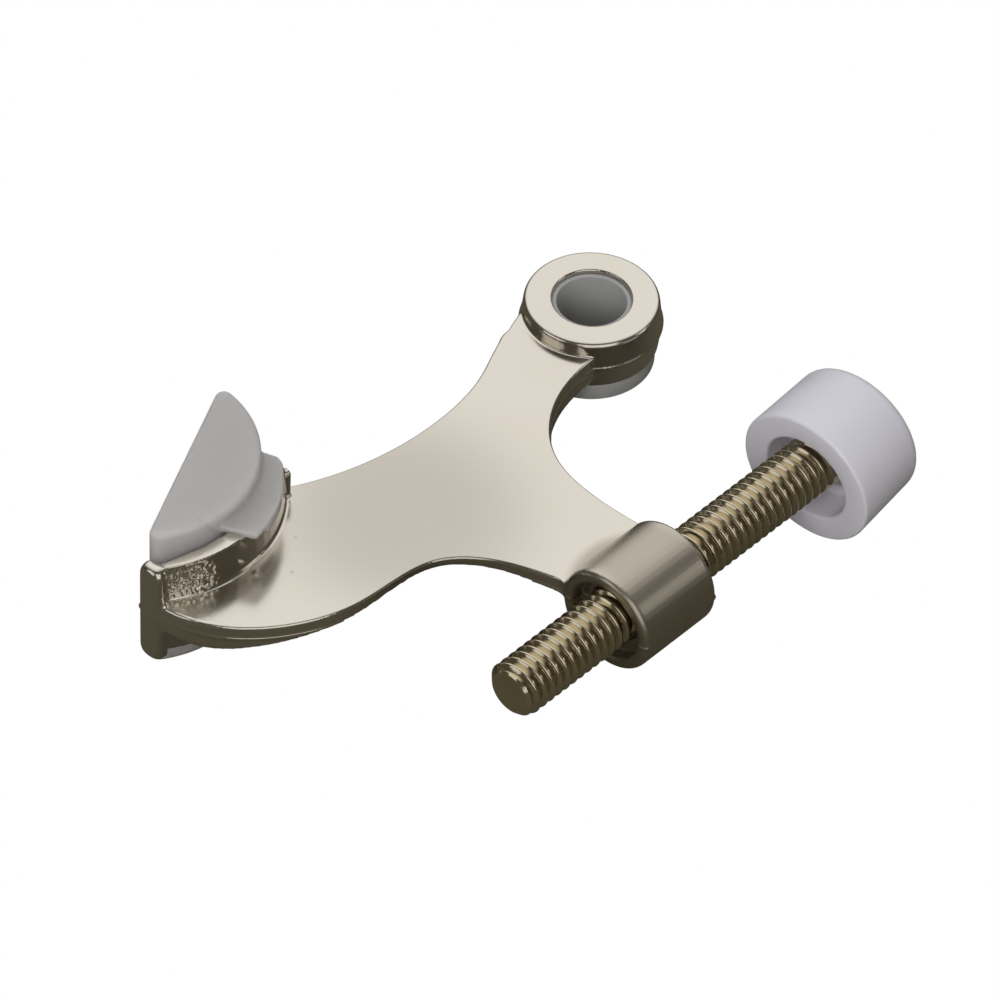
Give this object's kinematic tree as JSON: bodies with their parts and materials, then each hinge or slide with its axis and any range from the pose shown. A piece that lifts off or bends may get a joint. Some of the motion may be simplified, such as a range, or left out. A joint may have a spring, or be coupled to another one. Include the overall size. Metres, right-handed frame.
{
  "type": "door stop",
  "caption": "Hinge-pin door stop: a three-armed cast web with an eye for the hinge pin, a rocking pad in a crescent saddle and a round bumper on a threaded stud.",
  "frame": {"origin": "on the hinge pin's axis, at the middle of the eye ring's height", "axes": "+Z along the hinge pin, +X along the stud towards its bumper, +Y on the pad's side"},
  "size_m": [0.0911, 0.068, 0.0231],
  "materials": {
    "satin_nickel": "satin nickel plate over die-cast zinc",
    "grey_nylon": "translucent grey nylon",
    "nickel_plated_steel": "bright brassy nickel plate on rolled thread",
    "white_rubber": "smooth opaque white rubber",
    "milky_rubber": "milky translucent rubber"
  },
  "bodies": {
    "arm": {"cast_arm": "satin_nickel", "hinge_pin_bush": "grey_nylon"},
    "bumper": {"round_bumper": "white_rubber"},
    "stud": {"threaded_stud": "nickel_plated_steel"},
    "pad": {"saddle_pad": "milky_rubber"}
  },
  "joints": [
    {"name": "stud_travel", "type": "slide", "parent": "arm", "child": "bumper", "axis": [1, 0, 0], "range_m": [-0.022, 0.017]},
    {"name": "stud_turn", "type": "hinge", "parent": "bumper", "child": "stud", "pos_m": [0, -0.039, 0], "axis": [1, 0, 0], "range_deg": [-5613.6, 4338.01]},
    {"name": "pad_rock", "type": "hinge", "parent": "arm", "child": "pad", "pos_m": [-0.0671, 0.0185, 0], "axis": [0, 0, 1], "range_deg": [-32, 0]}
  ],
  "couplings": [
    {"joint": "stud_turn", "follows": "stud_travel", "rad_per_m": 4452.7}
  ]
}
